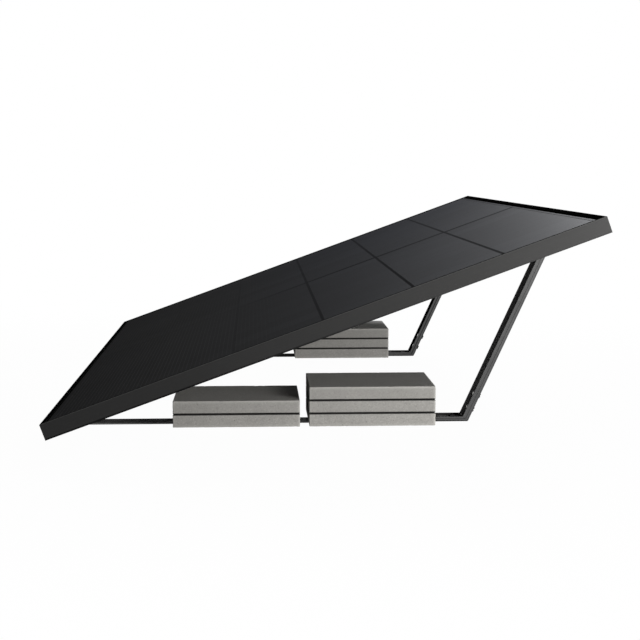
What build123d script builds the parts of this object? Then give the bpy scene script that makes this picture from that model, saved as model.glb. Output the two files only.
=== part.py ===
from build123d import *
import math
import os

os.makedirs("parts", exist_ok=True)

# Ballasted flat-roof mount for one solar module laid in landscape.
# X runs up the slope (low edge at -X), Y runs along the module, +Z is up, millimetres.
# The origin is on the roof, under the middle of the whole mount.

# ---------------------------------------------------------------- driving sizes
tilt = 20.0                 # slope of the module, degrees

module_length = 1722.0      # along Y
module_depth = 1134.0       # up the slope
frame_height = 32.0
low_edge_clearance = 31.0   # roof to the frame's lowest corner

frame_wall = 1.6
frame_flange = 30.0         # bottom flange, measured inwards
frame_flange_wall = 1.8
frame_lip = 11.0            # lip over the glass
frame_lip_wall = 1.5
frame_chamber = 5.4         # clear width of the hollow chamber
frame_shelf = 9.5           # ledge under the laminate
glass_groove = 5.0          # clear height between ledge and lip

glass_thickness = 3.2
cell_thickness = 0.9        # cells and their encapsulant
backsheet_thickness = 0.4
laminate_play = 0.5         # laminate edge to the frame's wall

key_leg = 42.0              # arm of a corner key
key_play = 0.2

side_inset = 350.0          # middle of a side frame to the module's end
rail_width = 50.0
strap_thickness = 3.0
strap_start = 5.0           # strap end to the module's lowest corner
tongue_length = 42.0        # end of the strap that lies inside the foot channel
tongue_play = 1.0
joggle_length = 8.0

channel_wall = 2.5
channel_radius = 3.5        # outer corners of a channel's web
foot_height = 10.5
leg_height = 14.5           # flange height of the leg channel
leg_angle = 65.4            # leg to the roof, degrees
leg_inset = 54.5            # leg's open edge to the module's high face, along the slope
foot_reach = 67.5           # inner corner of foot and leg to the foot channel's other end
groove_width = 2.2          # line along each flange
groove_depth = 0.8
joint_gap = 0.1             # foot channel to leg channel at the mitre
leg_end_gap = 1.0           # leg top to the underside of the module
knee_radius = 6.0           # round outer corner where the leg meets the roof

slab_length = 262.5         # along X
slab_width = 200.0          # along Y
slab_height = 27.5
slab_chamfer = 1.4
front_slabs = 2
rear_slabs = 3
stack_gap = 19.3            # left front stack to the rear stack
stack_clearance = 1.0       # rear stack to the foot channel
pad_thickness = 3.0
pad_margin = 10.0           # pad end to the end of its stack

bolt = 6.0
bolt_play = 0.5
thread_play = 0.05
bolt_flats = 10.0
head_height = 4.0
nut_height = 3.2            # low nuts
knee_nut_height = 5.0       # nuts behind the knee
washer_width = 12.0
washer_thickness = 1.6
washer_play = 1.0
screw_head = 11.0           # countersunk head
screw_head_depth = 2.4
screw_proud = 0.8           # thread past a nut

plate = 3.0                 # brackets and knee plate
bracket_bend = 3.0
knee_foot_length = 30.0
knee_leg_length = 66.0
knee_play = 0.4
foot_screw_inset = 18.0     # foot screw to the inner corner
knee_bolt_first = 21.0      # knee bolts, up the leg from the inner corner
knee_bolt_pitch = 32.0
front_base = 34.0           # bracket foot on the strap
front_screw_pitch = 14.0
tongue_screw_inset = 13.0
tongue_screw_spread = 24.0
top_plate_length = 46.0     # top bracket's arm on the leg
flange_bolt_inset = 18.0    # module bolts to the frame's outer face

box_length = 96.0           # junction box, along Y
box_width = 40.0
box_height = 13.0
box_lid = 2.0
box_lid_chamfer = 0.7
box_lid_step = 2.0          # lid's edge to the housing's edge
box_count = 3
box_radius = 4.0
gland_width = 9.0
gland_length = 11.0

# ---------------------------------------------------------------- worked out
slope_cos = math.cos(math.radians(tilt))
slope_sin = math.sin(math.radians(tilt))
low_x = (frame_height * slope_sin - module_depth * slope_cos) / 2
up_slope = Vector(slope_cos, 0, slope_sin)
out_of_glass = Vector(-slope_sin, 0, slope_cos)
low_middle = Vector(low_x, 0, low_edge_clearance)
module_plane = Plane(origin=low_middle, x_dir=up_slope, z_dir=out_of_glass)

lip_under = frame_height - frame_lip_wall
shelf_top = lip_under - glass_groove
laminate_stack = glass_thickness + cell_thickness + backsheet_thickness
laminate_bottom = shelf_top + (glass_groove - laminate_stack) / 2
laminate_edge = frame_wall + laminate_play

leg_cos = math.cos(math.radians(leg_angle))
leg_sin = math.sin(math.radians(leg_angle))
side_rows = {"left": -(module_length / 2 - side_inset), "right": module_length / 2 - side_inset}
deck = strap_thickness + pad_thickness
leg_end = low_middle + up_slope * (module_depth - leg_inset)
corner_x = leg_end.X - (leg_end.Z - foot_height) * leg_cos / leg_sin
foot_start = corner_x - foot_reach
rear_stack_start = foot_start - stack_clearance - slab_length
hole_radius = (bolt + bolt_play) / 2


def save(part, name):
    part.part.label = name
    export_step(part.part, f"parts/{name}.step")


# ---------------------------------------------------------------- module frame
def frame_rail(name, corner, inward, length):
    """One mitred frame profile, extruded along its edge of the module."""
    section = Plane(origin=corner, x_dir=inward, z_dir=inward.cross(out_of_glass))
    along = section.z_dir
    far_corner = Vector(*corner) + along * length
    chamber_wall = frame_wall + frame_chamber
    with BuildPart() as rail:
        with BuildSketch(section):
            for u, v, wide, high in (
                (0, 0, frame_wall, frame_height),
                (0, 0, frame_flange, frame_flange_wall),
                (chamber_wall, 0, frame_wall, shelf_top),
                (0, shelf_top - frame_wall, frame_shelf, frame_wall),
                (0, lip_under, frame_lip, frame_lip_wall),
            ):
                with Locations((u, v)):
                    Rectangle(wide, high, align=(Align.MIN, Align.MIN))
        extrude(amount=length)
        split(bisect_by=Plane(origin=corner, z_dir=along - inward), keep=Keep.TOP)
        split(bisect_by=Plane(origin=far_corner, z_dir=-along - inward), keep=Keep.TOP)
        for side in flange_holes(name):
            with BuildSketch(side):
                Circle(hole_radius)
            extrude(amount=frame_flange_wall * 2, both=True, mode=Mode.SUBTRACT)
    save(rail, name)


def flange_holes(name):
    """Planes at the mounting holes in the bottom flange of the two long profiles."""
    rows = {"frame_low": flange_bolt_inset, "frame_high": module_depth - flange_bolt_inset}
    if name not in rows:
        return []
    return [flange_plane(rows[name], y) for y in side_rows.values()]


def flange_plane(up, y):
    """Plane on the underside of the module, facing out of the glass."""
    return Plane(origin=low_middle + up_slope * up + Vector(0, y, 0), x_dir=up_slope, z_dir=out_of_glass)


half = Vector(0, module_length / 2, 0)
high_middle = low_middle + up_slope * module_depth
frame_rail("frame_low", low_middle + half, up_slope, module_length)
frame_rail("frame_high", high_middle - half, -up_slope, module_length)
frame_rail("frame_left", low_middle - half, Vector(0, 1, 0), module_depth)
frame_rail("frame_right", high_middle + half, Vector(0, -1, 0), module_depth)

with BuildPart() as corner_keys:
    key_inset = frame_wall + key_play
    key_width = frame_chamber - 2 * key_play
    key_bottom = frame_flange_wall + key_play
    key_height = shelf_top - frame_wall - key_play - key_bottom
    with BuildSketch(module_plane.offset(key_bottom)):
        for end_x, turn_x in ((key_inset, 1), (module_depth - key_inset, -1)):
            for turn_y in (-1, 1):
                with Locations((end_x, -turn_y * (module_length / 2 - key_inset))):
                    across = Align.MIN if turn_x > 0 else Align.MAX
                    along_y = Align.MIN if turn_y > 0 else Align.MAX
                    Rectangle(key_leg, key_width, align=(across, along_y))
                    Rectangle(key_width, key_leg, align=(across, along_y))
    extrude(amount=key_height)
save(corner_keys, "corner_keys")


# ---------------------------------------------------------------- laminate
def laminate_layer(name, bottom, thickness):
    """One sheet of the laminate, held in the frame's groove."""
    with BuildPart() as sheet:
        with BuildSketch(module_plane.offset(bottom)):
            with Locations((module_depth / 2, 0)):
                Rectangle(module_depth - 2 * laminate_edge, module_length - 2 * laminate_edge)
        extrude(amount=thickness)
    save(sheet, name)


laminate_layer("backsheet", laminate_bottom, backsheet_thickness)
laminate_layer("cell_sheet", laminate_bottom + backsheet_thickness, cell_thickness)
laminate_layer("front_glass", laminate_bottom + backsheet_thickness + cell_thickness, glass_thickness)


def junction_box(index):
    """A split junction box on the back: potted housing with a stub for its lead, and a lid."""
    middle = module_depth * (index + 0.5) / box_count
    box_plane = module_plane.offset(laminate_bottom - box_height)
    outer_box = index in (0, box_count - 1)
    with BuildPart() as housing:
        with BuildSketch(box_plane):
            with Locations((middle, 0)):
                RectangleRounded(box_width, box_length, box_radius)
        extrude(amount=box_height)
        if outer_box:
            turn = -1 if index == 0 else 1
            stub = Plane(
                origin=box_plane.from_local_coords(Vector(middle, turn * box_length / 2, box_height / 2)),
                x_dir=up_slope, z_dir=(0, turn, 0))
            with BuildSketch(stub):
                Circle(gland_width / 2)
            extrude(amount=gland_length)
    save(housing, f"junction_box_{index + 1}")
    with BuildPart() as lid:
        with BuildSketch(box_plane):
            with Locations((middle, 0)):
                RectangleRounded(box_width - 2 * box_lid_step, box_length - 2 * box_lid_step, box_radius / 2)
        extrude(amount=-box_lid)
        chamfer(lid.faces().sort_by(Axis.Z)[0].edges(), box_lid_chamfer)
    save(lid, f"junction_lid_{index + 1}")


for box_index in range(box_count):
    junction_box(box_index)


# ---------------------------------------------------------------- fasteners
def hex_solid(plane, height, bore=0.0):
    """A hexagon on a plane, with an optional bore."""
    with BuildSketch(plane) as hexagon:
        RegularPolygon(bolt_flats / 2, 6, major_radius=False)
        if bore:
            Circle(bore, mode=Mode.SUBTRACT)
    extrude(hexagon.sketch, amount=height)


def hex_bolts(name, seats, grip, nut_depth=nut_height):
    """Hexagon bolts with washers: each seat's plane faces out of the clamped plates."""
    with BuildPart() as bolts:
        for seat in seats:
            hex_solid(seat.offset(washer_thickness), head_height)
            with BuildSketch(seat):
                Circle(washer_width / 2)
            extrude(amount=washer_thickness)
            with BuildSketch(seat):
                Circle(bolt / 2)
            extrude(amount=-(grip + nut_depth + screw_proud))
    save(bolts, name)


def countersunk(plane, length, play=0.0, mode=Mode.ADD):
    """A countersunk screw that points along its plane's normal, its head flush with the plane."""
    upwards = (Align.CENTER, Align.CENTER, Align.MIN)
    with Locations(plane):
        Cone(screw_head / 2 + play, bolt / 2 + play, screw_head_depth, align=upwards, mode=mode)
        Cylinder(bolt / 2 + play, length, align=upwards, mode=mode)


def nuts(name, seats, height=nut_height):
    """Hexagon nuts, each seat's plane facing out of the clamped plates."""
    with BuildPart() as group:
        for seat in seats:
            hex_solid(seat, height, bolt / 2 + thread_play)
    save(group, name)


# ---------------------------------------------------------------- side frames
def channel_sketch(height):
    """Channel section: web at the bottom, two flanges with a line along their outer faces."""
    upwards = (Align.CENTER, Align.MIN)
    with Locations((0, height)):
        RectangleRounded(rail_width, 2 * height, channel_radius)
        Rectangle(rail_width, 2 * height, align=upwards, mode=Mode.SUBTRACT)
    with Locations((0, channel_wall)):
        Rectangle(rail_width - 2 * channel_wall, height, align=upwards, mode=Mode.SUBTRACT)
    for side in (-1, 1):
        with Locations((side * rail_width / 2, (height + channel_wall) / 2)):
            Rectangle(2 * groove_depth, groove_width, mode=Mode.SUBTRACT)


def leg_point(up, inside, y):
    """A point up the leg from the inner corner, and inside the leg's open edge."""
    return Vector(corner_x + up * leg_cos + inside * leg_sin, y, foot_height + up * leg_sin - inside * leg_cos)


# The mitre runs from the inner corner to where the leg's web meets the roof.
web_reach = (leg_height - foot_height * leg_cos) / leg_sin
mitre = Vector(web_reach, 0, -foot_height).normalized()
mitre_normal = Vector(-mitre.Z, 0, mitre.X)

# The flat top of the leg follows the underside of the module.
underside_gap = out_of_glass * -leg_end_gap


def base_strap(side, y):
    """Flat bar on the roof, joggled up into the foot channel at its end."""
    start = low_x + strap_start
    end = foot_start + tongue_length
    with BuildPart() as strap:
        with BuildSketch(Plane(origin=(start, y, 0), x_dir=(1, 0, 0), z_dir=(0, 0, 1))):
            Rectangle(foot_start - joggle_length - start, rail_width, align=(Align.MIN, Align.CENTER))
        extrude(amount=strap_thickness)
        low_end = foot_start - joggle_length
        with BuildSketch(Plane(origin=(0, y, 0), x_dir=(1, 0, 0), z_dir=(0, -1, 0))):
            with BuildLine():
                Polyline(
                    (low_end, 0), (foot_start, channel_wall), (end, channel_wall),
                    (end, channel_wall + strap_thickness), (foot_start, channel_wall + strap_thickness),
                    (low_end, strap_thickness), close=True)
            make_face()
        extrude(amount=rail_width / 2 - channel_wall - tongue_play, both=True)
        for x in front_screw_places():
            countersunk(Plane(origin=(x, y, 0)), strap_thickness * 2, bolt_play / 2, Mode.SUBTRACT)
        for place in tongue_screw_places(y):
            with BuildSketch(Plane(origin=place)):
                Circle(hole_radius)
            extrude(amount=foot_height, mode=Mode.SUBTRACT)
    save(strap, f"base_strap_{side}")


def front_screw_places():
    wall_x = front_wall_x()
    first = wall_x + front_base - front_screw_pitch - washer_width / 2 - washer_play
    return [first, first + front_screw_pitch]


def front_wall_x():
    """The front bracket's wall stands just inside the frame's bottom flange."""
    return low_x + (frame_flange + plate) * slope_cos


def tongue_screw_places(y):
    x = foot_start + tongue_screw_inset
    return [Vector(x, y + turn * tongue_screw_spread / 2, 0) for turn in (-1, 1)]


def foot_screw_place(y):
    return Vector(corner_x - foot_screw_inset, y, 0)


def knee_bolt_places(y, inside):
    return [leg_point(knee_bolt_first + step * knee_bolt_pitch, inside, y) for step in range(2)]


def leg_plane(place, inwards):
    """Plane square to the leg's web, facing into the channel or out of it."""
    turn = 1 if inwards else -1
    return Plane(origin=place, x_dir=(0, 1, 0), z_dir=Vector(-leg_sin, 0, leg_cos) * turn)


def round_knee(y):
    """Round the outer corner of the knee, from the roof to the leg's outer face."""
    reach = knee_radius / math.tan(math.radians(90 - leg_angle / 2))
    corner = Vector(corner_x + web_reach, 0)
    up_leg = Vector(leg_cos, leg_sin)
    with BuildSketch(Plane(origin=(0, y, 0), x_dir=(1, 0, 0), z_dir=(0, -1, 0))) as waste:
        with BuildLine():
            on_roof = corner - Vector(reach, 0)
            on_leg = corner + up_leg * reach
            Polyline(on_roof, corner + Vector(0, -1), corner + Vector(1, 0), on_leg)
            TangentArc(on_roof, on_leg, tangent=(1, 0))
        make_face()
    extrude(waste.sketch, amount=rail_width, both=True, mode=Mode.SUBTRACT)


def foot_channel(side, y):
    """Short channel on the roof between the rear ballast and the leg."""
    with BuildPart() as foot:
        with BuildSketch(Plane(origin=(foot_start, y, 0), x_dir=(0, 1, 0), z_dir=(1, 0, 0))):
            channel_sketch(foot_height)
        extrude(amount=corner_x - foot_start + foot_height * 2)
        cut = Plane(origin=Vector(corner_x, y, foot_height) - mitre_normal * joint_gap, z_dir=mitre_normal)
        split(bisect_by=cut, keep=Keep.BOTTOM)
        round_knee(y)
        for place in tongue_screw_places(y) + [foot_screw_place(y)]:
            countersunk(Plane(origin=place), channel_wall * 2, bolt_play / 2, Mode.SUBTRACT)
    save(foot, f"foot_channel_{side}")


def leg_channel(side, y):
    """Rear leg: a deeper channel, open towards the ballast, from the knee to the module."""
    web = leg_point(-foot_height * 2, leg_height, y)
    with BuildPart() as leg:
        with BuildSketch(Plane(origin=web, x_dir=(0, 1, 0), z_dir=(leg_cos, 0, leg_sin))):
            channel_sketch(leg_height)
        extrude(amount=module_depth)
        split(bisect_by=Plane(origin=(corner_x, y, foot_height), z_dir=mitre_normal), keep=Keep.TOP)
        split(bisect_by=Plane(origin=low_middle + underside_gap, z_dir=-out_of_glass), keep=Keep.TOP)
        round_knee(y)
        for place in knee_bolt_places(y, leg_height) + [top_bolt_place(y)]:
            with BuildSketch(leg_plane(place, True)):
                Circle(hole_radius)
            extrude(amount=channel_wall * 2, both=True, mode=Mode.SUBTRACT)
    save(leg, f"leg_channel_{side}")


def leg_top(inside):
    """Distance up the leg at which a line inside it meets the underside of the module."""
    start = leg_point(0, inside, 0)
    height = (start - low_middle).dot(out_of_glass)
    climb = Vector(leg_cos, 0, leg_sin).dot(out_of_glass)
    return -height / climb


def top_bolt_place(y):
    return leg_point(leg_top(leg_height) - top_plate_length / 2 - plate, leg_height, y)


def knee_plate(side, y):
    """Bent plate inside the knee: one screw to the foot, two bolts to the leg."""
    width = rail_width - 2 * channel_wall - 2 * knee_play
    inside = leg_height - channel_wall
    level = channel_wall
    turn_x = corner_x + (inside - (foot_height - level) * leg_cos) / leg_sin
    toe = (turn_x - knee_foot_length, level)
    bend = (turn_x, level)
    heel = (turn_x + knee_leg_length * leg_cos, level + knee_leg_length * leg_sin)
    with BuildPart() as knee:
        with BuildSketch(Plane(origin=(0, y, 0), x_dir=(1, 0, 0), z_dir=(0, -1, 0))):
            with BuildLine():
                outer = Polyline(toe, bend, heel)
                offset(outer, plate, side=Side.LEFT)
            make_face()
        extrude(amount=width / 2, both=True)
        with BuildSketch(Plane(origin=foot_screw_place(y))):
            Circle(hole_radius)
        extrude(amount=foot_height * 2, mode=Mode.SUBTRACT)
        for place in knee_bolt_places(y, inside):
            with BuildSketch(leg_plane(place, True)):
                Circle(hole_radius)
            extrude(amount=plate * 2, both=True, mode=Mode.SUBTRACT)
    save(knee, f"knee_plate_{side}")


def bent_bracket(name, y, points, holes):
    """Plate bent along points seen from the side, its other face a plate's thickness to the left."""
    with BuildPart() as bracket:
        with BuildSketch(Plane(origin=(0, y, 0), x_dir=(1, 0, 0), z_dir=(0, -1, 0))):
            with BuildLine():
                face = FilletPolyline(*points, radius=bracket_bend)
                offset(face, plate, side=Side.LEFT)
            make_face()
        extrude(amount=rail_width / 2, both=True)
        for hole in holes:
            with BuildSketch(hole):
                Circle(hole_radius)
            extrude(amount=plate * 2, both=True, mode=Mode.SUBTRACT)
    save(bracket, name)


def front_bracket(side, y):
    """Carries the module's low profile: foot on the strap, wall, and a seat under the flange."""
    wall = front_wall_x()
    seat_end = low_middle + up_slope * frame_wall
    seat_low = low_middle + (wall - low_x) / slope_cos * up_slope
    top_of_foot = strap_thickness + plate
    points = [
        (wall + front_base, top_of_foot), (wall, top_of_foot),
        (seat_low.X, seat_low.Z), (seat_end.X, seat_end.Z)]
    holes = [Plane(origin=(x, y, strap_thickness)) for x in front_screw_places()]
    holes.append(flange_plane(flange_bolt_inset, y).offset(-plate))
    bent_bracket(f"front_bracket_{side}", y, points, holes)


def top_bracket(side, y):
    """Ties the leg's web to the bottom flange of the module's high profile."""
    up = leg_top(leg_height)
    low = leg_point(up - top_plate_length, leg_height, 0)
    turn = leg_point(up, leg_height, 0)
    end = low_middle + up_slope * (module_depth - frame_wall)
    points = [(end.X, end.Z), (turn.X, turn.Z), (low.X, low.Z)]
    holes = [leg_plane(top_bolt_place(y), True), flange_plane(module_depth - flange_bolt_inset, y)]
    bent_bracket(f"top_bracket_{side}", y, points, holes)


def front_stack_start(side):
    """The left stack keeps its gap to the rear one, the right one lies midway to the bracket."""
    if side == "left":
        return rear_stack_start - stack_gap - slab_length
    return (front_wall_x() + front_base + rear_stack_start - slab_length) / 2


def ballast(side, y):
    """Two stacks of concrete slabs, each on a rubber pad along the strap."""
    stacks = {"front": (front_stack_start(side), front_slabs), "rear": (rear_stack_start, rear_slabs)}
    for stack, (start, count) in stacks.items():
        middle = start + slab_length / 2
        with BuildPart() as pad:
            with BuildSketch(Plane(origin=(middle, y, strap_thickness))):
                Rectangle(slab_length - 2 * pad_margin, rail_width)
            extrude(amount=pad_thickness)
        save(pad, f"{stack}_pad_{side}")
        for level in range(count):
            with BuildPart() as slab:
                with BuildSketch(Plane(origin=(middle, y, deck + level * slab_height))):
                    Rectangle(slab_length, slab_width)
                extrude(amount=slab_height)
                chamfer(slab.edges(), slab_chamfer)
            save(slab, f"{stack}_slab_{side}_{level + 1}")


def side_fasteners(side, y):
    web_inside = leg_height - channel_wall - plate
    knee_seats = [leg_plane(place, True) for place in knee_bolt_places(y, web_inside)]
    hex_bolts(f"knee_bolts_{side}", knee_seats, channel_wall + plate, knee_nut_height)
    behind = [leg_plane(place, False) for place in knee_bolt_places(y, leg_height)]
    nuts(f"knee_nuts_{side}", behind, knee_nut_height)

    screw_length = strap_thickness + plate + nut_height + screw_proud
    foot_screws = tongue_screw_places(y) + [foot_screw_place(y)]
    with BuildPart() as screws:
        for place in foot_screws + [Vector(x, y, 0) for x in front_screw_places()]:
            countersunk(Plane(origin=place), screw_length)
    save(screws, f"base_screws_{side}")
    tongue_top = channel_wall + strap_thickness
    seats = [Plane(origin=place + Vector(0, 0, tongue_top)) for place in foot_screws]
    front_top = strap_thickness + plate
    seats += [Plane(origin=(x, y, front_top)) for x in front_screw_places()]
    nuts(f"base_nuts_{side}", seats)

    low_seat = flange_plane(flange_bolt_inset, y).offset(frame_flange_wall)
    high_seat = flange_plane(module_depth - flange_bolt_inset, y).offset(frame_flange_wall)
    hex_bolts(f"module_bolts_{side}", [low_seat, high_seat], frame_flange_wall + plate)
    nut_seats = []
    for up in (flange_bolt_inset, module_depth - flange_bolt_inset):
        under = flange_plane(up, y).offset(-plate)
        nut_seats.append(Plane(origin=under.origin, x_dir=under.x_dir, z_dir=-under.z_dir))
    nuts(f"module_nuts_{side}", nut_seats)

    inner = top_bolt_place(y) + Vector(-leg_sin, 0, leg_cos) * channel_wall
    hex_bolts(f"leg_top_bolt_{side}", [leg_plane(inner, True)], channel_wall + plate)
    outer = top_bolt_place(y) - Vector(-leg_sin, 0, leg_cos) * plate
    nuts(f"leg_top_nut_{side}", [leg_plane(outer, False)])


for side_name, side_y in side_rows.items():
    base_strap(side_name, side_y)
    foot_channel(side_name, side_y)
    leg_channel(side_name, side_y)
    knee_plate(side_name, side_y)
    front_bracket(side_name, side_y)
    top_bracket(side_name, side_y)
    ballast(side_name, side_y)
    side_fasteners(side_name, side_y)
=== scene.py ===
"""Looks of the solar ballast mount: finishes, worn slabs, glass seal, floor, lamps and camera."""

import math

import bpy
import numpy as np
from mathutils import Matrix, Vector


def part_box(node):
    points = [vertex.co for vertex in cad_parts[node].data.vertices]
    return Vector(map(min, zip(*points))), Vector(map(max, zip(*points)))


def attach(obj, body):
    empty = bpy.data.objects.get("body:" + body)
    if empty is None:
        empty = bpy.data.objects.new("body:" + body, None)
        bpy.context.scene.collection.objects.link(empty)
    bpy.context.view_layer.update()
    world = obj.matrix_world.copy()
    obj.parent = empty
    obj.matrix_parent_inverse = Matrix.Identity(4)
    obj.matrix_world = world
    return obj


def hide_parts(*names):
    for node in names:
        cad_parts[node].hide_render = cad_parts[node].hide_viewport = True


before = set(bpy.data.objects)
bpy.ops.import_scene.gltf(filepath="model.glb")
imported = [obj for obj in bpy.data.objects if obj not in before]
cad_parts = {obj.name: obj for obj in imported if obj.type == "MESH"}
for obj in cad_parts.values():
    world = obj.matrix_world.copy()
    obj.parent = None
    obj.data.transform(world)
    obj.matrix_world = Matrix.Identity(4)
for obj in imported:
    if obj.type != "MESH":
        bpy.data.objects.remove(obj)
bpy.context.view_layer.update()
mm = 0.001

# ------------------------------------------------------------------ sizes and axes of the mount
TILT = math.radians(20)
FRAME_HEIGHT = 32 * mm
MODULE_DEPTH = 1134 * mm
MODULE_LENGTH = 1722 * mm
LIP_REACH = 11 * mm
GLASS_TOP = 30.25 * mm
UP_SLOPE = np.array((math.cos(TILT), 0, math.sin(TILT)))
ACROSS = np.array((0.0, 1.0, 0.0))
OUT_OF_GLASS = np.array((-math.sin(TILT), 0, math.cos(TILT)))
rail_low = np.array(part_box("frame_low")[0])
LOW_EDGE = np.array((rail_low[0] + FRAME_HEIGHT * math.sin(TILT), 0, rail_low[2]))

SIDE_ROW = 511 * mm
WEB, GROOVE, FOOT_HEIGHT, LEG_HEIGHT = 2.5 * mm, 2.2 * mm, 10.5 * mm, 14.5 * mm
LEG_ANGLE = math.radians(65.4)
LEG_UP = np.array((math.cos(LEG_ANGLE), 0, math.sin(LEG_ANGLE)))
LEG_OUT = np.array((math.sin(LEG_ANGLE), 0, -math.cos(LEG_ANGLE)))
KNEE = np.array((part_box("leg_channel_left")[0][0], 0, FOOT_HEIGHT))
KNEE_BOLT_FIRST, KNEE_BOLT_PITCH = 21 * mm, 32 * mm


def in_module(up, across, out):
    """Place in the frame of points given up the slope, along the module and out of the glass."""
    up, across, out = np.broadcast_arrays(up, across, out)
    return LOW_EDGE + up[..., None] * UP_SLOPE + across[..., None] * ACROSS + out[..., None] * OUT_OF_GLASS


def grey(level):
    """An even grey as red, green and blue."""
    return level, level, level


# ------------------------------------------------------------------ shader maths
class Value:
    """A number or colour that varies over a surface. Python operators add Math nodes."""

    def __init__(self, graph, socket):
        self.graph, self.socket = graph, socket

    def maths(self, operation, *others):
        """A Math node with this value on its first socket."""
        return self.graph.add("ShaderNodeMath", {"operation": operation}, (self, *others))

    def __add__(self, other):
        return self.maths("ADD", other)

    def __sub__(self, other):
        return self.maths("SUBTRACT", other)

    def __rsub__(self, other):
        return self.graph.add("ShaderNodeMath", {"operation": "SUBTRACT"}, (other, self))

    def __mul__(self, other):
        return self.maths("MULTIPLY", other)

    def __truediv__(self, other):
        return self.maths("DIVIDE", other)

    def __mod__(self, other):
        return self.maths("FLOORED_MODULO", other)

    def __pow__(self, other):
        return self.maths("POWER", other)

    def __abs__(self):
        return self.maths("ABSOLUTE")

    __radd__, __rmul__ = __add__, __mul__

    def least(self, other):
        return self.maths("MINIMUM", other)

    def most(self, other):
        return self.maths("MAXIMUM", other)

    def step(self, low, high):
        """0 below low, 1 above high and smooth between them."""
        settings = {"interpolation_type": "SMOOTHSTEP"}
        return self.graph.add("ShaderNodeMapRange", settings, (self, low, high, 0.0, 1.0))

    def to_line(self, pitch):
        """Distance to the nearest multiple of pitch."""
        return pitch / 2 - abs(self % pitch - pitch / 2)


class Graph:
    """A node tree. Constants go straight onto the sockets."""

    def __init__(self, tree):
        self.nodes, self.links = tree.nodes, tree.links

    def put(self, socket, value):
        """Links a value to a socket, or sets a constant on it."""
        if isinstance(value, Value):
            self.links.new(value.socket, socket)
        elif isinstance(value, (tuple, list)) and socket.type == "RGBA":
            socket.default_value = (*value, 1.0)[:4]
        else:
            socket.default_value = value

    def add(self, kind, settings=None, inputs=(), output=0):
        """Any node: its settings first, then the values or links of its sockets."""
        node = self.nodes.new(kind)
        for name, value in (settings or {}).items():
            setattr(node, name, value)
        pairs = inputs.items() if isinstance(inputs, dict) else enumerate(inputs)
        for place, value in pairs:
            self.put(node.inputs[place], value)
        return Value(self, node.outputs[output])

    def backdrop_rays(self):
        """1 for the rays that show the backdrop: seen, mirrored or through glass. 0 for its light."""
        seen, mirrored, through = (self.add("ShaderNodeLightPath", output=f"Is {kind} Ray")
                                   for kind in ("Camera", "Glossy", "Transmission"))
        return seen.most(mirrored).most(through)


class Finish(Graph):
    """One procedural material, laid out over the object's own coordinates."""

    def __init__(self, name, **constants):
        self.material = bpy.data.materials.new(name)
        self.material.use_nodes = True
        super().__init__(self.material.node_tree)
        self.shader = self.nodes["Principled BSDF"]
        self.feed(**constants)
        self.place = self.add("ShaderNodeTexCoord", output="Object")

    def feed(self, **sockets):
        """base_color=... sets or links Base Color, and so on."""
        for name, value in sockets.items():
            self.put(self.shader.inputs[name.replace("_", " ").title().replace("Ior", "IOR")], value)

    def colour(self, factor, first, second):
        """first where factor is 0, second where it is 1."""
        return self.add("ShaderNodeMix", {"data_type": "RGBA"}, {0: factor, 6: first, 7: second}, 2)

    def along(self, direction, origin=(0, 0, 0)):
        """Distance from origin along a direction."""
        product = self.add("ShaderNodeVectorMath", {"operation": "DOT_PRODUCT"},
                           (self.place, tuple(direction)), "Value")
        return product - float(np.dot(direction, origin))

    def axes(self):
        """Distances up the slope, along the module and out of the glass."""
        return [self.along(axis, LOW_EDGE) for axis in (UP_SLOPE, ACROSS, OUT_OF_GLASS)]

    def stretch(self, *parts):
        """A vector of three numbers, for patterns that are longer one way."""
        return self.add("ShaderNodeCombineXYZ", inputs=parts)

    def noise(self, scale, detail=3.0, roughness=0.55, vector=None):
        sockets = {"Vector": vector or self.place, "Scale": scale, "Detail": detail, "Roughness": roughness}
        return self.add("ShaderNodeTexNoise", inputs=sockets)

    def cells(self, scale, output=0):
        """Distance to the nearest of many scattered points, or the colour of its cell."""
        sockets = {"Vector": self.place, "Scale": scale}
        return self.add("ShaderNodeTexVoronoi", inputs=sockets, output=output)

    def painted(self, attribute):
        """A number kept on the piece's own points."""
        return self.add("ShaderNodeAttribute", {"attribute_name": attribute}, output="Fac")

    def bump(self, height, distance, strength=1.0):
        """Raises the surface by height times distance, on top of the bumps fed before."""
        sockets = {"Height": height, "Distance": distance, "Strength": strength}
        normal = self.shader.inputs["Normal"]
        if normal.is_linked:
            sockets["Normal"] = Value(self, normal.links[0].from_socket)
        self.feed(normal=self.add("ShaderNodeBump", inputs=sockets))


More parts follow.
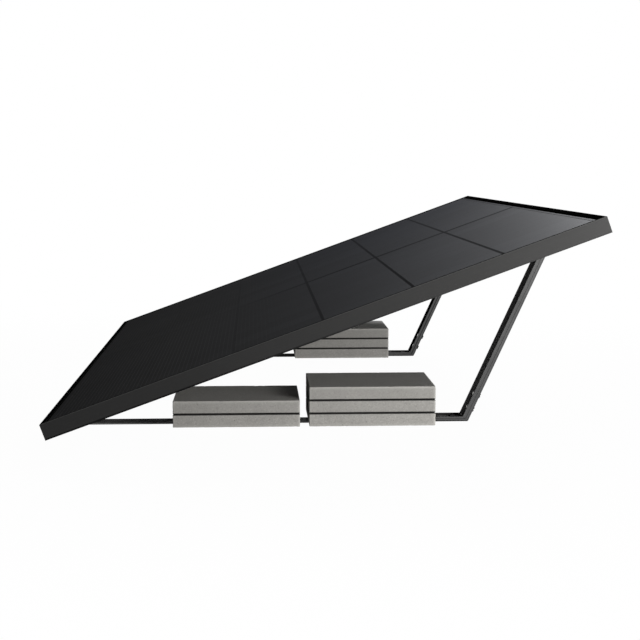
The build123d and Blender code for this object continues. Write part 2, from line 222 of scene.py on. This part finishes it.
# ------------------------------------------------------------------ finishes of the module
def anodised(name, runs_up):
    """Black anodised extrusion: die lines along the rail, a satin grain, a painted highlight on the top
    arris, painted shade on the lip's top and along the lower edge, fading up the slope, and painted light up
    the slope."""
    long_scale, short_scale, grain_scale = 3.0, 900.0, 2600.0
    highlight_down, highlight_in, dark_edge = (0.2 * mm, 0.9 * mm), (0.4 * mm, 1.3 * mm), (1.8 * mm, 4.2 * mm)
    finish = Finish(name, specular_ior_level=0.0, coat_ior=1.45, coat_roughness=0.42)
    up, across, out = finish.axes()
    up_scale, across_scale = (long_scale, short_scale) if runs_up else (short_scale, long_scale)
    lines = finish.stretch(up * up_scale, across * across_scale, out * short_scale)
    die_lines = finish.noise(1.0, 2.0, 0.5, lines)
    patches = finish.noise(9.0, 4.0)
    grain = finish.noise(grain_scale, 2.0)
    end = MODULE_LENGTH / 2 - abs(across)
    side = end.least(up.least(MODULE_DEPTH - up))
    # painted highlight: a thin light stripe along the outer top arris
    arris_highlight = (1.0 - (FRAME_HEIGHT - out).step(*highlight_down)) * (1.0 - side.step(*highlight_in))
    # painted shade: a near-black band along the lower edge, weaker up the slope
    under = (1.0 - out.step(*dark_edge)) * (0.75 - up.step(0.3, 0.85) * 0.65)
    lip = out.step(FRAME_HEIGHT - 0.4 * mm, FRAME_HEIGHT - 0.1 * mm)
    body = finish.colour(patches * 0.55 + die_lines * 0.45, grey(0.0175), grey(0.0305))
    # painted light: the rail grows lighter towards the high end
    body = finish.colour(up.step(0.1, 0.95) * 0.24, body, grey(0.07))
    # painted shade: the lip's top face darker, the up-slope rails' lips less so
    body = finish.colour(lip, body, grey(0.02 if runs_up else 0.002))
    body = finish.colour(arris_highlight * 0.6, body, (0.13, 0.13, 0.128))
    body = finish.colour(under, body, grey(0.002))
    finish.feed(base_color=body, roughness=0.45 + die_lines * 0.10 + patches * 0.08)
    finish.feed(coat_weight=(1.0 - lip) * (1.0 - under) * (0.26 + die_lines * 0.1))
    finish.bump(die_lines, 0.03 * mm)
    finish.bump(grain, 0.02 * mm)
    return finish


ROW_COUNT, HALF_CELLS = 6, 9        # rows up the slope, half-cells from the middle to an end
ROW_PITCH = 182 * mm
ROWS_START = 21 * mm
HALF_CELL_PITCH = 92.4 * mm
MIDDLE_GAP = 11.5 * mm              # half of the strip between the module's halves
ROW_GAP = 3.0 * mm
CELL_GAP = 0.9 * mm
CORNER_CUT = 9 * mm
WIRE_PITCH = ROW_PITCH / 20
WIRE_EDGE = (0.22 * mm, 0.6 * mm)
WIRE_OVERRUN = (-4 * mm, -3 * mm)   # past the outermost cells
FINGER_PITCH = 1.4 * mm
FINGER_EDGE = (0.05 * mm, 0.22 * mm)
HIGH_MARGIN = (3.5 * mm, 4.5 * mm)  # black strip past the last row
SOFT_RIM = (0.0, 1.5 * mm)
CELL_SALTS = (7.31, 3.17, 1.7)      # weights of row, column and half in a cell's number


def cell_pattern(finish):
    """Masks over the laminate: cell, gap between cells, strip at the high end, wire and finger,
    from the distance to the grid's lines, then a number for each cell and the module's axes."""
    up, across, _ = finish.axes()
    row = up - ROWS_START
    column = abs(across) - MIDDLE_GAP
    to_row, to_column = row.to_line(ROW_PITCH), column.to_line(HALF_CELL_PITCH)
    to_rim = row.least(ROW_COUNT * ROW_PITCH - row).least(HALF_CELLS * HALF_CELL_PITCH - column)
    margin = to_rim.least(column)
    in_row = to_row.step(ROW_GAP * 0.8, ROW_GAP * 1.2) * margin.step(*SOFT_RIM)
    in_column = to_column.step(CELL_GAP * 0.7, CELL_GAP * 1.3)
    cell = in_row * in_column * (to_row + to_column).step(CORNER_CUT * 0.9, CORNER_CUT * 1.1)
    between = (1.0 - in_row * (0.7 + in_column * 0.3)) * to_rim.step(*SOFT_RIM)
    at_end = (row - ROW_COUNT * ROW_PITCH).step(*HIGH_MARGIN)
    wire = 1.0 - (row + WIRE_PITCH / 2).to_line(WIRE_PITCH).step(*WIRE_EDGE)
    finger = 1.0 - column.to_line(FINGER_PITCH).step(*FINGER_EDGE)
    counts = (row / ROW_PITCH).maths("FLOOR"), (column / HALF_CELL_PITCH).maths("FLOOR"), across.maths("SIGN")
    of_row, of_column, of_half = (count * salt for count, salt in zip(counts, CELL_SALTS))
    number = of_row + of_column + of_half
    shade = finish.add("ShaderNodeTexWhiteNoise", {"noise_dimensions": "1D"}, {"W": number})
    return cell, between, at_end, wire * margin.step(*WIRE_OVERRUN), finger * cell, shade, (up, across)


def laminate():
    """Half-cut cells under coated glass: wires with a painted highlight near the low near corner, fingers,
    gaps that show only up the slope where the silicon carries painted sheen, silicon painted lighter and
    bluer up the slope as sheen, and a coat whose sheen grows towards the high edge."""
    low_silicon = (0.0041, 0.0041, 0.0042), (0.0056, 0.0056, 0.0058)
    silicon_painted_sheen = (0.0044, 0.0050, 0.0074), (0.0068, 0.0078, 0.0114)
    finger_tone, gap_tone, wire_tone = (0.035, 0.037, 0.042), (0.0050, 0.0052, 0.0058), (0.055, 0.056, 0.059)
    finish = Finish("laminate_cells", specular_ior_level=0.0, coat_roughness=0.45, coat_ior=1.45)
    cell, between, at_end, wire, finger, shade, (up, across) = cell_pattern(finish)
    cloud = finish.noise(14.0, 3.0)
    rise, share = up / MODULE_DEPTH, across / MODULE_LENGTH + 0.5
    mottle = shade * 0.6 + cloud * 0.4
    # painted sheen: the silicon lighter and bluer up the slope
    silicon = finish.colour(rise.step(0.15, 0.85), finish.colour(mottle, *low_silicon),
                            finish.colour(mottle, *silicon_painted_sheen))
    silicon = finish.colour(finger * 0.05, silicon, finger_tone)
    # the gaps fade out towards the low end, where no painted sheen lifts the silicon
    gap = between * (0.03 + rise.step(0.25, 0.65) * 0.97) * (1.0 - share * 0.35)
    surface = finish.colour(gap, silicon, gap_tone)
    # painted highlight: the wires show light only near the low near corner
    lit = (0.52 - rise.step(0.05, 0.5) * 0.50) * (1.1 - share * 0.9)
    surface = finish.colour(wire * lit, surface, wire_tone)
    surface = finish.colour(at_end, surface, grey(0.0015))
    finish.feed(base_color=surface, roughness=0.55 - cell * 0.08 + cloud * 0.1)
    sheen = (0.044 + rise * 0.085 + rise ** 6.0 * 0.12) * (1.0 - rise * share * 0.5)
    finish.feed(coat_weight=sheen * (1.0 + shade * 0.04) * (1.0 - gap * 0.74) * (1.0 - at_end))
    finish.bump(finish.noise(900.0, 2.0), 0.01 * mm)
    return finish


def backsheet():
    """Black film on the back, with the cells pressed faintly through it."""
    finish = Finish("backsheet_film", specular_ior_level=0.35)
    cell, _, _, wire, _, _, _ = cell_pattern(finish)
    cloud = finish.noise(6.0, 5.0)
    film = finish.colour(cloud, (0.010, 0.010, 0.011), (0.017, 0.017, 0.018))
    film = finish.colour(cell * 0.35, film, (0.021, 0.021, 0.023))
    finish.feed(base_color=film, roughness=0.5 + cloud * 0.18)
    finish.bump(cell + wire * 0.5, 0.12 * mm, 0.7)
    finish.bump(finish.noise(700.0, 3.0), 0.05 * mm)
    return finish


def seal():
    """Black silicone with a painted highlight along the module's short ends, tooling ripples and fine grain.
    """
    highlight_reach = (LIP_REACH + 2.5 * mm, LIP_REACH + 3.5 * mm)
    finish = Finish("seal_silicone", specular_ior_level=0.0)
    ripple, grain = finish.noise(220.0, 2.0), finish.noise(1500.0, 3.0, 0.6)
    beyond_highlight = (MODULE_LENGTH / 2 - abs(finish.along(ACROSS))).step(*highlight_reach)
    # painted highlight: the bead lighter along the short ends, near black along the long ones
    bead = finish.colour(beyond_highlight, grey(0.034), grey(0.0008))
    finish.feed(base_color=finish.colour(grain * 0.1, bead, grey(0.01)), roughness=0.65 + grain * 0.2)
    finish.bump(ripple, 0.2 * mm)
    finish.bump(grain, 0.04 * mm)
    return finish


# ------------------------------------------------------------------ finishes of frames and slabs
def coated_steel(name, low, high, shine, coat=0.32, from_web=None, inside=None):
    """Dark coated steel: slightly uneven film, fine orange peel and a little dust. On a channel,
    whose web lies from_web = (point, direction to its open edge, height, share of the painted shade on
    the rounded corner), the rest of the painted shade sits in the groove along each flange; inside =
    (colour, coat) of its inner faces, where that colour is painted light or shade."""
    flank_edge, rim_down, skin = (23.6 * mm, 24.6 * mm), (0.9 * mm, 0.3 * mm), (1.0 * mm, 2.0 * mm)
    corner_start, corner_share = 1.6 * mm, 0.36
    finish = Finish(name, specular_ior_level=0.0, coat_ior=1.5, coat_roughness=0.42)
    patches, peel = finish.noise(22.0, 5.0), finish.noise(750.0, 2.0, 0.4)
    gloss = coat * (0.75 + patches * 0.5)
    specks = finish.noise(2300.0, 1.0)
    dust = finish.noise(60.0, 6.0, 0.7).step(0.55, 0.8) * 0.35
    film = finish.colour(patches.step(0.3, 0.7), low, high)
    film = finish.colour(dust * specks, film, (0.20, 0.195, 0.185))
    if from_web:
        point, direction, height, shade_on_corner = from_web
        inner_painted_tone, inner_coat = inside
        depth = finish.along(direction, point)
        flank = abs(abs(finish.along(ACROSS)) - SIDE_ROW).step(*flank_edge)
        # painted shade in the groove along each flange and by the web's rounded corner
        groove_shade = 1.0 - abs(depth - (height + WEB) / 2).step(GROOVE * 0.5, GROOVE * 0.8)
        corner = 1.0 - depth.step(corner_start, height * corner_share)
        rim = depth.step(*(height - down for down in rim_down))
        painted_shade = (groove_shade * (1.0 - shade_on_corner)).most(corner * shade_on_corner) * flank
        film = finish.colour(painted_shade, film, grey(0.006))
        film = finish.colour(rim * 0.3, film, (0.085, 0.085, 0.083))
        gloss = gloss * (1.0 - painted_shade) * flank + (1.0 - flank) * inner_coat
        # inner faces take a painted tone: light inside the near leg, shade inside the far leg and the foot
        film = finish.colour((1.0 - flank) * depth.step(*skin), film, inner_painted_tone)
    finish.feed(base_color=film, roughness=shine + patches * 0.12 + specks * 0.06, coat_weight=gloss)
    finish.bump(peel, 0.08 * mm)
    finish.bump(specks, 0.01 * mm)
    return finish


def zinc(name, tint, rough, metallic=1.0, shine=0.5, axes=None):
    """Bright zinc plate: fine turned lines, cloudy passivation and dull spots. With axes = (point,
    direction, pitch) the heads keep a painted glint only in their middle, and painted shade darkens their
    corners."""
    head_edge = (2.0 * mm, 3.2 * mm)
    finish = Finish(name, metallic=metallic, specular_ior_level=shine)
    cloud, fine = finish.noise(180.0, 4.0), finish.noise(4200.0, 2.0)
    spots = finish.cells(600.0).step(0.05, 0.35)
    dull = tuple(part * 0.62 for part in tint)
    plated = finish.colour(cloud * 0.6 + spots * 0.25, tint, dull)
    if axes:
        point, direction, pitch = axes
        # painted shade round each head, leaving a painted glint in its middle
        corner = finish.along(direction, point).to_line(pitch).step(*head_edge)
        plated = finish.colour(corner, plated, grey(0.02))
    finish.feed(base_color=plated, roughness=rough + cloud * 0.15 + fine * 0.08)
    finish.bump(fine, 0.01 * mm)
    finish.bump(cloud, 0.03 * mm)
    return finish


def moulded(name, tone, rough, grain_depth):
    """Moulded black plastic or rubber: spark-eroded grain and soft cloudiness."""
    finish = Finish(name, specular_ior_level=0.4)
    cloud, grain = finish.noise(35.0, 4.0), finish.noise(1500.0, 3.0, 0.6)
    pits = finish.cells(900.0).step(0.0, 0.4)
    lighter = tuple(part * 1.7 for part in tone)
    finish.feed(base_color=finish.colour(cloud * 0.7 + grain * 0.3, tone, lighter),
                roughness=rough + grain * 0.12)
    finish.bump(grain + pits * 0.4, grain_depth)
    return finish


def concrete():
    """Cast concrete: cloudy paste, fine sand, air holes, dusty arrises, painted shade on the steps in
    the joints between slabs, and painted shade that darkens the upper slab of each stack."""
    finish = Finish("cast_concrete", specular_ior_level=0.25)
    cloud, mottle = finish.noise(11.0, 5.0, 0.6), finish.noise(70.0, 5.0, 0.62)
    sand, dust = finish.cells(1100.0), finish.noise(420.0, 4.0, 0.7)
    grain_tone = finish.add("ShaderNodeSeparateColor", inputs=(finish.cells(520.0, "Color"),))
    hole_size = finish.noise(55.0, 2.0).step(0.42, 0.75) * 0.16
    hole = 1.0 - (finish.cells(150.0) - hole_size).step(-0.03, 0.03)
    arris, tone, joint_shade = (finish.painted(attribute) for attribute in ("arris", "tone", "joint_shade"))
    paste = finish.colour(cloud.step(0.25, 0.75), (0.372, 0.363, 0.345), (0.434, 0.425, 0.406))
    paste = finish.colour(mottle.step(0.35, 0.7) * 0.28, paste, (0.47, 0.46, 0.437))
    paste = finish.colour(grain_tone.step(0.72, 0.95) * 0.28, paste, (0.20, 0.195, 0.18))
    paste = finish.colour((1.0 - grain_tone).step(0.8, 0.97) * 0.25, paste, (0.66, 0.65, 0.62))
    # painted shade: the upper slab of each stack darker
    paste = finish.colour(tone * 0.45, paste, (0.29, 0.284, 0.270))
    paste = finish.colour(arris * (0.35 + dust * 0.5), paste, (0.62, 0.61, 0.58))
    paste = finish.colour(hole * 0.75, paste, (0.085, 0.08, 0.075))
    # painted shade on the steps inside the joints
    paste = finish.colour(joint_shade * 0.95, paste, (0.02, 0.02, 0.019))
    finish.feed(base_color=paste, roughness=0.86 + mottle * 0.1)
    finish.bump(1.0 - hole, 0.9 * mm, 0.8)
    finish.bump(sand * 0.6 + dust, 0.22 * mm, 0.7)
    finish.bump(mottle, 0.5 * mm, 0.5)
    return finish


# last number: share of the painted shade on the web's rounded corner
ON_ROOF = ((0, 0, 0), (0, 0, 1), FOOT_HEIGHT, 0.9)
UP_LEG = (KNEE + LEG_HEIGHT * LEG_OUT, -LEG_OUT, LEG_HEIGHT, 0.35)
KNEE_HEADS = (KNEE + KNEE_BOLT_FIRST * LEG_UP, LEG_UP, KNEE_BOLT_PITCH)
CHANNEL_COAT = ((0.0650, 0.0656, 0.0668), (0.0818, 0.0827, 0.0842), 0.38, 0.45)

rails_up = anodised("anodised_rails_up", True)
rails_across = anodised("anodised_rails_across", False)
cells_under_glass = laminate()
back_film = backsheet()
# one coat twice: the near strap painted lighter as light, the far strap darker as shade
strap_coat_painted_light = coated_steel("strap_coat_painted_light", grey(0.13), (0.15, 0.15, 0.1495), 0.4, 0.7)
strap_coat_painted_shade = coated_steel("strap_coat_painted_shade", grey(0.020), grey(0.026), 0.5, 0.05)
# inner faces: painted shade in the foot and the far leg, painted light in the near leg
foot_coat = coated_steel("foot_coat", *CHANNEL_COAT, ON_ROOF, (grey(0.03), 0.1))
leg_coat_painted_light_inside = coated_steel("leg_coat_painted_light_inside", *CHANNEL_COAT, UP_LEG, (grey(0.15), 1.0))
leg_coat_painted_shade_inside = coated_steel("leg_coat_painted_shade_inside", *CHANNEL_COAT, UP_LEG, (grey(0.012), 0.0))
plate_coat = coated_steel("plate_coat", grey(0.028), (0.040, 0.040, 0.039), 0.45)
mill_aluminium = zinc("mill_aluminium", (0.62, 0.62, 0.63), 0.35)
bright_zinc = zinc("bright_zinc", (0.46, 0.46, 0.455), 0.38)
zinc_painted_glint = zinc("zinc_painted_glint", (0.90, 0.90, 0.88), 0.18, axes=KNEE_HEADS)
# zinc hardware painted near black and not metallic, as shade
zinc_painted_shade = zinc("zinc_painted_shade", (0.035, 0.035, 0.0345), 0.55, metallic=0.0, shine=0.1)
box_plastic = moulded("box_plastic", (0.014, 0.014, 0.0145), 0.48, 0.06 * mm)
lid_plastic = moulded("lid_plastic", (0.018, 0.018, 0.0185), 0.40, 0.04 * mm)
pad_rubber = moulded("pad_rubber", grey(0.015), 0.72, 0.15 * mm)
seal_rubber = seal()
slab_concrete = concrete()

FINISH_OF = {       # start of a node's name: its finish, where the first that fits counts
    "frame_left": rails_up, "frame_right": rails_up, "frame_": rails_across,
    "corner_keys": mill_aluminium, "front_glass": cells_under_glass, "cell_sheet": cells_under_glass,
    "backsheet": back_film, "junction_box": box_plastic, "junction_lid": lid_plastic,
    "base_strap_left": strap_coat_painted_light, "base_strap_right": strap_coat_painted_shade, "foot_channel": foot_coat,
    "leg_channel_left": leg_coat_painted_light_inside, "leg_channel_right": leg_coat_painted_shade_inside,
    "knee_plate": plate_coat, "front_bracket": plate_coat, "top_bracket": plate_coat,
    "front_pad": pad_rubber, "rear_pad": pad_rubber,
    "front_slab": slab_concrete, "rear_slab": slab_concrete,
    "knee_bolts": zinc_painted_glint, "knee_nuts": zinc_painted_shade, "base_nuts": zinc_painted_shade, "base_screws": zinc_painted_shade,
    "": bright_zinc,
}
for name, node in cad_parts.items():
    finish = next(FINISH_OF[start] for start in FINISH_OF if name.startswith(start))
    for slot in node.material_slots:
        slot.material = finish.material


# ------------------------------------------------------------------ pieces
CREASE = math.radians(30)


def make_piece(name, points, faces, finish, stands_for=()):
    """A mesh from points and faces, smooth but for its creases, riding on the mount."""
    mesh = bpy.data.meshes.new(name)
    mesh.from_pydata(points.reshape(-1, 3), [], faces)
    mesh.validate()
    mesh.polygons.foreach_set("use_smooth", np.ones(len(mesh.polygons), bool))
    mesh.set_sharp_from_angle(angle=CREASE)
    mesh.materials.append(finish.material)
    piece = bpy.data.objects.new(name, mesh)
    bpy.context.scene.collection.objects.link(piece)
    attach(piece, "root")
    if stands_for:
        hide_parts(*stands_for)
    return piece


def ring_faces(rings, around, closed=False):
    """Quads between rings of points that close on themselves, and from the last ring to the
    first where closed."""
    ring, step = np.meshgrid(np.arange(rings if closed else rings - 1), np.arange(around), indexing="ij")
    beyond, beside = (ring + 1) % rings, (step + 1) % around
    corners = (ring, step), (ring, beside), (beyond, beside), (beyond, step)
    return np.stack([a * around + b for a, b in corners], -1).reshape(-1, 4).tolist()


def waves(points, lengths, seed):
    """Smooth unevenness from 0 to 1: the mean of sines that run in seeded directions."""
    random = np.random.default_rng(seed)
    directions = random.normal(size=(len(lengths), 3))
    directions /= np.linalg.norm(directions, axis=1)[:, None]
    turns = points @ (directions * (2 * np.pi / np.array(lengths))[:, None]).T
    return 0.5 + 0.5 * np.sin(turns + random.uniform(0, 2 * np.pi, len(lengths))).mean(-1)


SLAB_ARRIS = 1.4 * mm
SLAB_STEP = 3.6 * mm                # between points round a slab
ARC_POINTS, WALL_RINGS = 4, 7
FLAT_SHARES = np.concatenate((np.linspace(0.04, 0.9, 16), (0.94, 0.965, 0.98, 0.99)))
REBATE = 0.8 * mm                   # depth and reach of the step beside a joint
REBATE_REACH = 14 * mm
REBATE_RAMP = 1.5 * mm
SLOW_WAVES = (0.11, 0.07, 0.05, 0.031, 0.023)
SHORT_WAVES = (0.016, 0.013, 0.011, 0.009, 0.0075)
SHORT_SEED = 50
SLOW_DEPTH, CHIP_DEPTH = 0.25 * mm, 0.8 * mm
CHIP_START, CHIP_RAMP = 0.66, 0.2   # of the short waves' height
ARRIS_REACH = 3 * mm


def rounded_outline(half_x, half_y, radius, step):
    """Points round a rectangle with round corners, evenly spaced, and their outward normals."""
    points, normals = [], []
    for turn in range(4):
        along, beyond = (half_y, half_x) if turn % 2 == 0 else (half_x, half_y)
        edge = np.linspace(-along + radius, along - radius, int(2 * along / step), endpoint=False)
        arc = np.linspace(0, math.pi / 2, ARC_POINTS, endpoint=False)
        bend = np.stack((np.cos(arc), np.sin(arc)), -1)
        side = np.concatenate((
            np.stack((np.full_like(edge, beyond), edge), -1),
            (beyond - radius, along - radius) + radius * bend))
        facing = np.concatenate((np.tile((1.0, 0.0), (len(edge), 1)), bend))
        cos, sin = round(math.cos(turn * math.pi / 2)), round(math.sin(turn * math.pi / 2))
        rotate = np.array(((cos, sin), (-sin, cos)))
        points.append(side @ rotate)
        normals.append(facing @ rotate)
    return np.concatenate(points), np.concatenate(normals)


def slab_rings(half_height):
    """The section of a slab, as four numbers for each ring: its share of the outline, how far it
    lies inside that, its height, and the upright part of its normal. The rings run from the middle
    of the underside to its rim, over the lower arris, up the wall, over the upper arris and in to
    the middle of the top: the part up to the wall is given, and the part after it mirrors that."""
    flat = np.ones(len(FLAT_SHARES))
    arc = np.linspace(0, math.pi / 2, ARC_POINTS)
    wall_end = half_height - SLAB_ARRIS - 1.5 * REBATE
    scale = np.append(FLAT_SHARES, np.ones(ARC_POINTS))
    back = np.append(SLAB_ARRIS * flat, SLAB_ARRIS * (1 - np.sin(arc)))
    height = np.append(-half_height * flat, SLAB_ARRIS * (1 - np.cos(arc)) - half_height)
    tip = np.append(-flat, -np.cos(arc))
    return (np.concatenate((scale, np.ones(WALL_RINGS), scale[::-1])),
            np.concatenate((back, np.zeros(WALL_RINGS), back[::-1])),
            np.concatenate((height, np.linspace(-wall_end, wall_end, WALL_RINGS), -height[::-1])),
            np.concatenate((tip, np.zeros(WALL_RINGS), -tip[::-1])))


def slab(node, seed, level, carries):
    """Cast slab in its node's box, made of rings of its outline. Slow waves press each point
    inwards, and short waves near an arris chip it. A face that meets another slab steps back
    near its rim, so that a thin joint stays open, and its step is marked for painted shade."""
    rests = level > 1
    low, high = (np.array(corner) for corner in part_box(node))
    half = (high - low) / 2
    outline, outward = rounded_outline(half[0], half[1], SLAB_ARRIS, SLAB_STEP)
    scale, back, height, tip = slab_rings(half[2])
    rings, around = len(scale), len(outline)
    meets = np.where(tip < 0, rests, np.where(tip > 0, carries, 0))
    from_rim = (1 - scale) * half[1] + back
    step_back = meets * np.clip((REBATE_REACH - from_rim) / REBATE_RAMP, 0, 1)
    height = height - REBATE * step_back * np.sign(tip)

    def on_rings(level_parts, upright):
        """Adds an upright part, one number a ring, to the level parts of every point."""
        upright = np.broadcast_to(upright[:, None, None], (*level_parts.shape[:2], 1))
        return np.concatenate((level_parts, upright), -1).reshape(-1, 3)

    points = on_rings(scale[:, None, None] * (outline[None] - back[:, None, None] * outward[None]), height)
    normals = on_rings(np.sqrt(1 - tip ** 2)[:, None, None] * outward[None], tip)
    points = np.concatenate((points, ((0, 0, -half[2]), (0, 0, half[2]))))
    normals = np.concatenate((normals, ((0, 0, -1), (0, 0, 1))))
    to_face = half - np.abs(points)
    to_face[:, 2] += np.where(points[:, 2] < 0, rests, carries) * half[0]
    to_arris = np.sort(to_face, axis=1)[:, 1]
    near_arris = np.exp(-(to_arris / ARRIS_REACH) ** 2)
    slow = waves(points, SLOW_WAVES, seed)
    short = waves(points, SHORT_WAVES, seed + SHORT_SEED)
    chip = np.clip((short - CHIP_START) / CHIP_RAMP, 0, 1) * near_arris
    points = points - normals * (slow * SLOW_DEPTH + chip * CHIP_DEPTH)[:, None]
    points += (low + high) / 2
    last, under, top = (rings - 1) * around, rings * around, rings * around + 1
    faces = ring_faces(rings, around)
    faces += [(under, (i + 1) % around, i) for i in range(around)]
    faces += [(top, last + i, last + (i + 1) % around) for i in range(around)]
    piece = make_piece(f"{node}_stone", points, faces, slab_concrete, (node,))
    joint_shade = np.append(np.repeat(step_back, around), (0, 0))
    # painted shade: rises by 0.5 with each level above the lowest
    tone = np.full(len(points), (level - 1) / 2)
    for name, values in (("arris", near_arris), ("tone", tone), ("joint_shade", joint_shade)):
        layer = piece.data.attributes.new(name, "FLOAT", "POINT")
        layer.data.foreach_set("value", values.astype(np.float32))


slab_names = sorted(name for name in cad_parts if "_slab_" in name)
for number, name in enumerate(slab_names):
    stack, level = name.rsplit("_", 1)
    slab(name, number + 1, int(level), f"{stack}_{int(level) + 1}" in slab_names)

BEAD_REACH, BEAD_RISE = 2.0 * mm, 1.35 * mm
BEAD_ROOT = 0.3 * mm, 0.25 * mm     # how far the bead goes under the lip and into the glass
BEAD_WOBBLE, WOBBLE_TURN = 0.08 * mm, 1.9
BEAD_SIDE_POINTS, BEAD_ARC_POINTS = 64, 9


def glass_seal():
    """Silicone bead in the corner of lip and glass. Its section, a quarter round with a foot,
    is carried round the mitred rectangle, and small waves along it show the tooling."""
    turn = np.linspace(0, math.pi / 2, BEAD_ARC_POINTS)
    under_lip, in_glass = BEAD_ROOT
    reach = np.append(BEAD_REACH * (1 - np.sin(turn)), (-under_lip, BEAD_REACH))
    rise = np.append(BEAD_RISE * (1 - np.cos(turn)), (-in_glass, -in_glass))
    corners = np.array(((0, -1), (1, -1), (1, 1), (0, 1)))
    share = np.linspace(0, 1, BEAD_SIDE_POINTS, endpoint=False)[:, None]
    path = np.concatenate([here + (there - here) * share
                           for here, there in zip(corners, np.roll(corners, -1, axis=0))])
    ripples = np.sin(np.arange(len(path)) * WOBBLE_TURN)[:, None] * np.sin(np.arange(len(reach)))[None]
    inset = LIP_REACH + reach[None] + BEAD_WOBBLE * ripples * (reach[None] > 0.2 * mm)
    up = inset + path[:, :1] * (MODULE_DEPTH - 2 * inset)
    across = path[:, 1:] * (MODULE_LENGTH / 2 - inset)
    points = in_module(up, across, GLASS_TOP + rise[None])
    faces = ring_faces(len(path), len(reach), closed=True)
    make_piece("glass_seal", points, faces, seal_rubber)


glass_seal()

# ------------------------------------------------------------------ floor, lamps and camera
FLOOR_REACH = 40.0
GLOW_NEAR, GLOW_RISE, GLOW_REACH = 0.98, 0.02, (0.8, 2.2)
floor_finish = Finish("pale_floor", base_color=grey(0.5), roughness=0.9, specular_ior_level=0.1)
distance = floor_finish.add("ShaderNodeVectorMath", {"operation": "LENGTH"}, (floor_finish.place,), "Value")
glow = floor_finish.add("ShaderNodeEmission", inputs=(grey(1.0), 1.0))
share = floor_finish.backdrop_rays() * (GLOW_NEAR + GLOW_RISE * distance.step(*GLOW_REACH))
lit_floor = Value(floor_finish, floor_finish.shader.outputs[0])
mixed = floor_finish.add("ShaderNodeMixShader", inputs=(share, lit_floor, glow))
floor_finish.put(floor_finish.nodes["Material Output"].inputs["Surface"], mixed)

floor_mesh = bpy.data.meshes.new("floor")
floor_corners = [(x * FLOOR_REACH, y * FLOOR_REACH, 0) for x, y in ((-1, -1), (1, -1), (1, 1), (-1, 1))]
floor_mesh.from_pydata(floor_corners, [], [(0, 1, 2, 3)])
floor_mesh.materials.append(floor_finish.material)
floor = bpy.data.objects.new("floor", floor_mesh)
bpy.context.scene.collection.objects.link(floor)

SKY_LIGHT = 0.13
world = bpy.data.worlds.new("studio")
bpy.context.scene.world = world
world.use_nodes = True
studio = Graph(world.node_tree)
studio.nodes.remove(studio.nodes["Background"])
soft = studio.add("ShaderNodeBackground", inputs=((0.97, 0.98, 1.0), SKY_LIGHT))
white = studio.add("ShaderNodeBackground", inputs=(grey(1.0), 1.0))
sky = studio.add("ShaderNodeMixShader", inputs=(studio.backdrop_rays(), soft, white))
studio.put(studio.nodes["World Output"].inputs["Surface"], sky)


def lamp(name, place, aim, size, power, tint):
    """A square soft box at place that faces aim."""
    light = bpy.data.lights.new(name, "AREA")
    light.size, light.energy, light.color = size, power, tint
    box = bpy.data.objects.new(name, light)
    box.location = place
    direction = np.array(aim) - np.array(place)
    yaw = math.atan2(direction[1], direction[0]) - math.pi / 2
    pitch = math.atan2(direction[2], math.hypot(direction[0], direction[1]))
    box.rotation_euler = (math.pi / 2 + pitch, 0, yaw)
    box.visible_camera = False
    bpy.context.scene.collection.objects.link(box)


WARM, COOL = (1.0, 0.99, 0.972), (0.96, 0.97, 1.0)
lamp("key_right", (1.35, -2.05, 0.38), (0.25, -0.5, 0.15), 0.9, 41, WARM)
lamp("sheen_far_right", (1.35, 2.6, 2.2), (0.3, -0.4, 0.4), 0.7, 110, COOL)
lamp("sheen_far", (0.5, 3.2, 2.8), (0.1, 0.0, 0.3), 1.8, 45, COOL)

CAMERA_PLACE = (-0.13376, -3.45057, 0.54592)
CAMERA_DIP, CAMERA_YAW = 6.38, -2.69    # degrees below level, and from +Y
LENS, SENSOR = 78.34, 36.0              # millimetres
camera_data = bpy.data.cameras.new("camera")
camera_data.sensor_width, camera_data.lens = SENSOR, LENS
camera = bpy.data.objects.new("camera", camera_data)
camera.location = CAMERA_PLACE
camera.rotation_euler = (math.radians(90 - CAMERA_DIP), 0, math.radians(CAMERA_YAW))
bpy.context.scene.collection.objects.link(camera)
bpy.context.scene.camera = camera
bpy.context.scene.view_settings.view_transform = "Standard"
